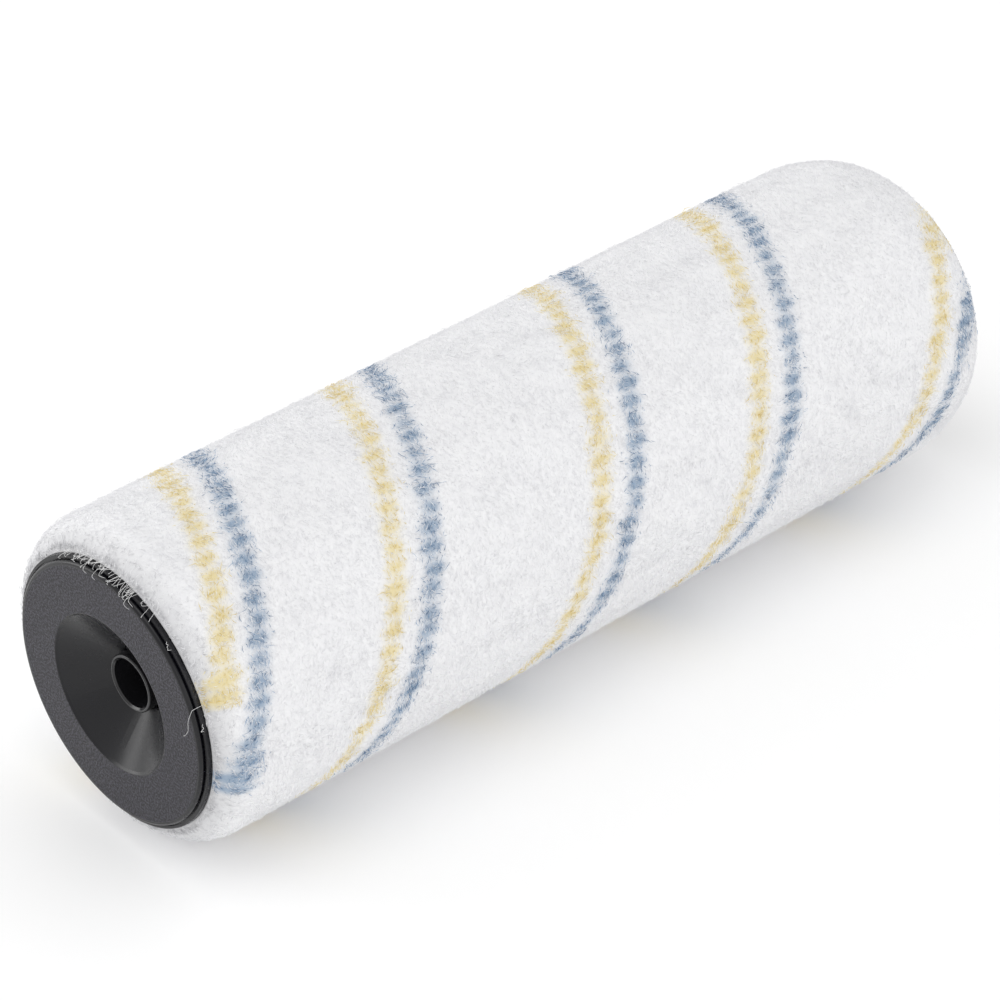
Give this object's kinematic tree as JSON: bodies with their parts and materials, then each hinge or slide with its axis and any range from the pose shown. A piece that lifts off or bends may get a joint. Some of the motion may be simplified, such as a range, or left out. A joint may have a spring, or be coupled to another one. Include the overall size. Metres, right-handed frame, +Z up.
{
  "type": "paint roller refill",
  "caption": "White plush paint roller sleeve with yellow and blue helical stripes, black end caps and a guide tube for a wire frame.",
  "frame": {"origin": "on the roller's axis at the middle of its length", "axes": "+X along the roller's axis from the front cap to the rear cap, +Z up with the roller held level"},
  "size_m": [0.18, 0.0584, 0.0584],
  "materials": {
    "core_plastic": "extruded, satin",
    "backing_knit": "knitted polyester ground",
    "pile_white": "cut plush pile",
    "pile_yellow": "cut plush pile, stripe yarn",
    "pile_blue": "cut plush pile, stripe yarn",
    "cap_plastic": "moulded, fine spark texture",
    "tube_plastic": "extruded, semi-gloss"
  },
  "bodies": {
    "spindle": {"guide_tube": "tube_plastic"},
    "roller": {"core_tube": "core_plastic", "fabric_backing": "backing_knit", "nap_pile": "pile_white", "end_cap_front": "cap_plastic", "end_cap_rear": "cap_plastic"}
  },
  "joints": [
    {"name": "roller_spin", "type": "hinge", "parent": "spindle", "child": "roller", "pos_m": [0, 0, 0], "axis": [1, 0, 0], "continuous": true}
  ]
}
